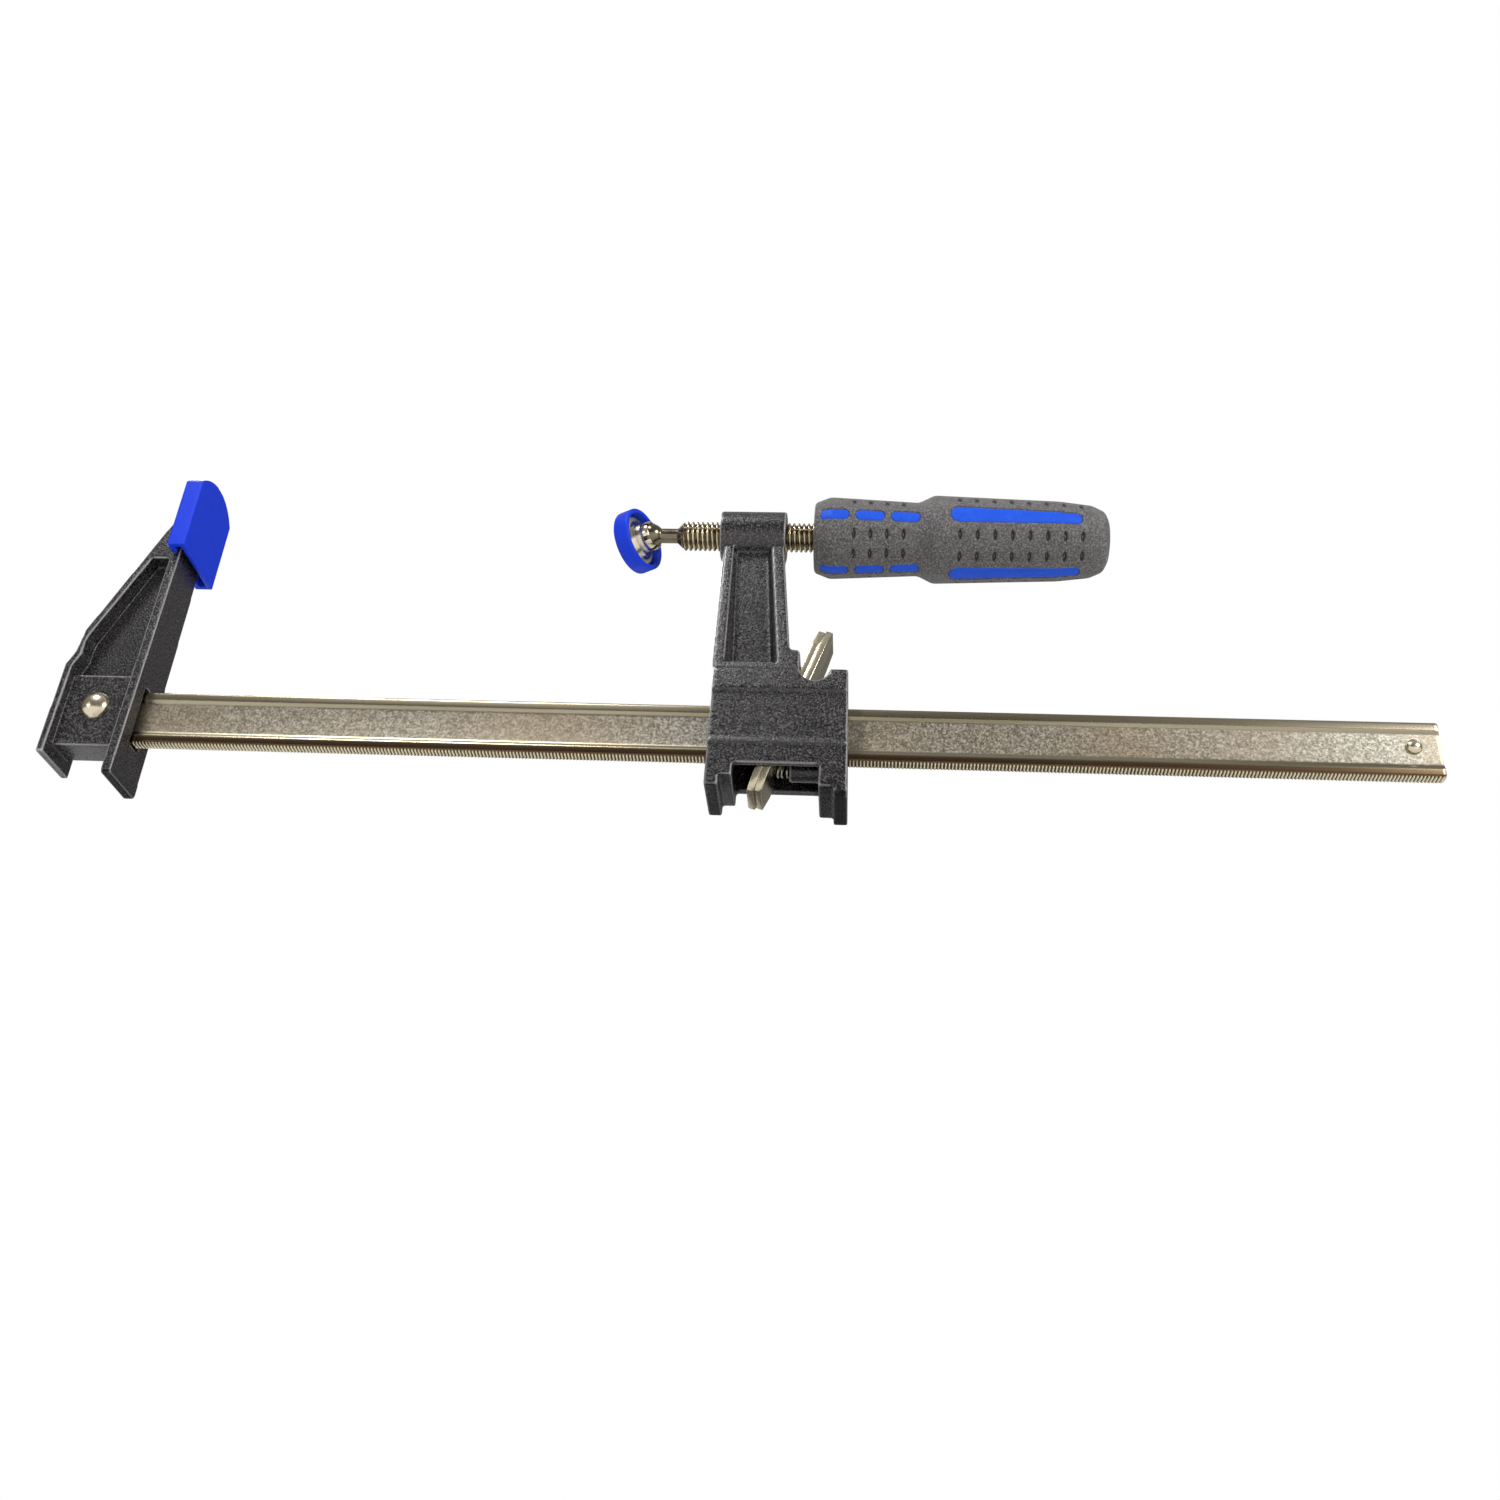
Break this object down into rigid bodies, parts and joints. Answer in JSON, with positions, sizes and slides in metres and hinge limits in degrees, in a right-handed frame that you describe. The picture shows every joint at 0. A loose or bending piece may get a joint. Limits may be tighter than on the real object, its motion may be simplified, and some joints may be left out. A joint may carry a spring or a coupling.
{
  "type": "f clamp",
  "caption": "Bar clamp with a riveted fixed jaw, a sliding jaw locked by two tilting clutch plates, and a screw with a swivel pressure pad and a round grip handle.",
  "frame": {"origin": "centre of the fixed jaw cap's clamping face, on the screw's axis", "axes": "+X along the rail from the fixed jaw to its free end, which is also the clamping face's outward normal; +Z from the rail to the jaw tips; -Y is the front"},
  "size_m": [0.5607, 0.038, 0.1563],
  "materials": {
    "rail_steel": "bright zinc plate, grainy web, faint yellow tint on the edges",
    "zinc_plate": "bright zinc plate with a pale gold tint",
    "screw_steel": "rolled thread, bright plated",
    "spring_steel": "satin",
    "black_casting": "black satin coat over a sand-cast skin",
    "blue_plastic": "soft satin plastic",
    "blue_core": "satin plastic",
    "grip_rubber": "matte soft rubber"
  },
  "bodies": {
    "frame": {"rail": "rail_steel", "stop_pin": "zinc_plate", "fixed_jaw": "black_casting", "jaw_rivet": "zinc_plate", "jaw_cap": "blue_plastic"},
    "slider": {"sliding_jaw": "black_casting", "clutch_spring": "spring_steel"},
    "clutch": {"clutch_plate_front": "zinc_plate", "clutch_plate_rear": "zinc_plate"},
    "seat": {"ball_seat": "spring_steel"},
    "screw": {"spindle": "screw_steel", "handle_core": "blue_core", "handle_grip": "grip_rubber"},
    "pad": {"pad_socket": "zinc_plate", "pad_cap": "blue_plastic"}
  },
  "joints": [
    {"name": "slider_slide", "type": "slide", "parent": "frame", "child": "slider", "axis": [1, 0, 0], "range_m": [-0.168, 0.215]},
    {"name": "clutch_tilt", "type": "hinge", "parent": "slider", "child": "clutch", "pos_m": [0.2708, 0, -0.074], "axis": [0, -1, 0], "range_deg": [0, 5.5], "stiffness_Nm_per_rad": 0.8, "springref_deg": -17.19, "deforming": ["clutch_spring"]},
    {"name": "spindle_feed", "type": "slide", "parent": "slider", "child": "seat", "axis": [1, 0, 0], "range_m": [-0.012, 0.015]},
    {"name": "spindle_turn", "type": "hinge", "parent": "seat", "child": "screw", "pos_m": [0.2015, 0, 0], "axis": [1, 0, 0], "range_deg": [-2040, 2550]},
    {"name": "pad_swivel", "type": "hinge", "parent": "seat", "child": "pad", "pos_m": [0.2015, 0, 0], "axis": [0, 0, 1], "range_deg": [-3, 57]}
  ],
  "couplings": [
    {"joint": "spindle_feed", "follows": "spindle_turn", "m_per_rad": 0.00033688}
  ]
}
